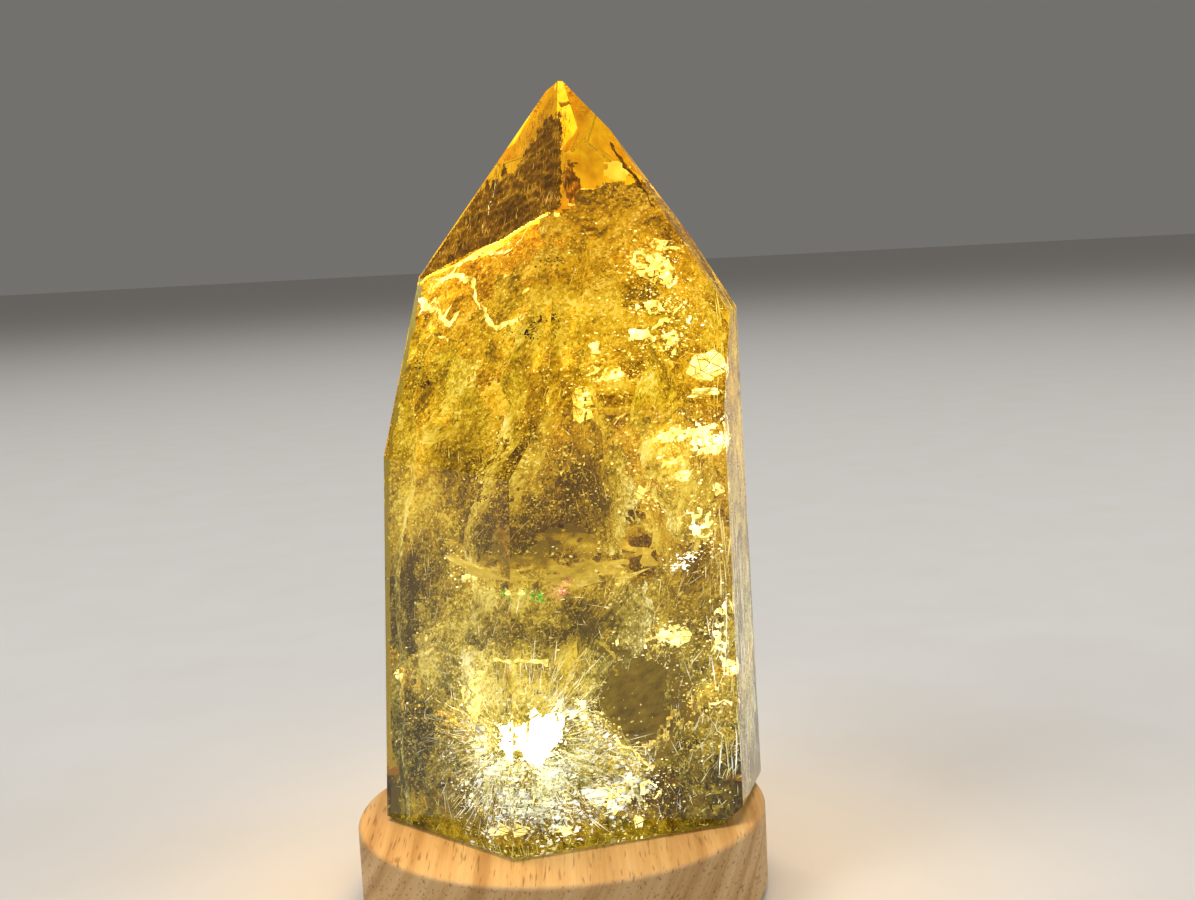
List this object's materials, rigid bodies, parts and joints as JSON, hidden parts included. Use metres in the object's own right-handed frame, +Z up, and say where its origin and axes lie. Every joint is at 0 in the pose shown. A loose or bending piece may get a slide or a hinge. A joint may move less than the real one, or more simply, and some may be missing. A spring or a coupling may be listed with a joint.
{
  "type": "quartz crystal point on a lit wooden base",
  "caption": "Polished six-sided golden quartz point with a steep lopsided tip, standing on a round wooden base that lights it from below.",
  "frame": {"origin": "on the round base's axis, at the surface that the pad under it rests on", "axes": "+Z up, along the crystal; +Y to the back of the base, where the power socket is; the front of the crystal faces -Y"},
  "size_m": [0.1006, 0.1, 0.1981],
  "materials": {
    "golden_quartz": "polished flat faces, see-through golden yellow, clearer at the foot, with milky veils and needles inside",
    "veil": "frosty healed fractures and fine needles inside the quartz, lit from below",
    "pale_wood": "fine sanded pale wood with straight grain, oiled matte",
    "frosted_window": "frosted acrylic, glowing warm white",
    "lamp_board": "white lacquered circuit board with a clear domed lens",
    "black_plastic": "moulded, fine satin",
    "felt": "pressed dark felt"
  },
  "bodies": {
    "root": {"quartz_crystal": "golden_quartz", "light_base": "pale_wood", "light_window": "frosted_window", "led_board": "lamp_board", "foot_pad": "felt", "power_socket": "black_plastic"}
  },
  "joints": []
}
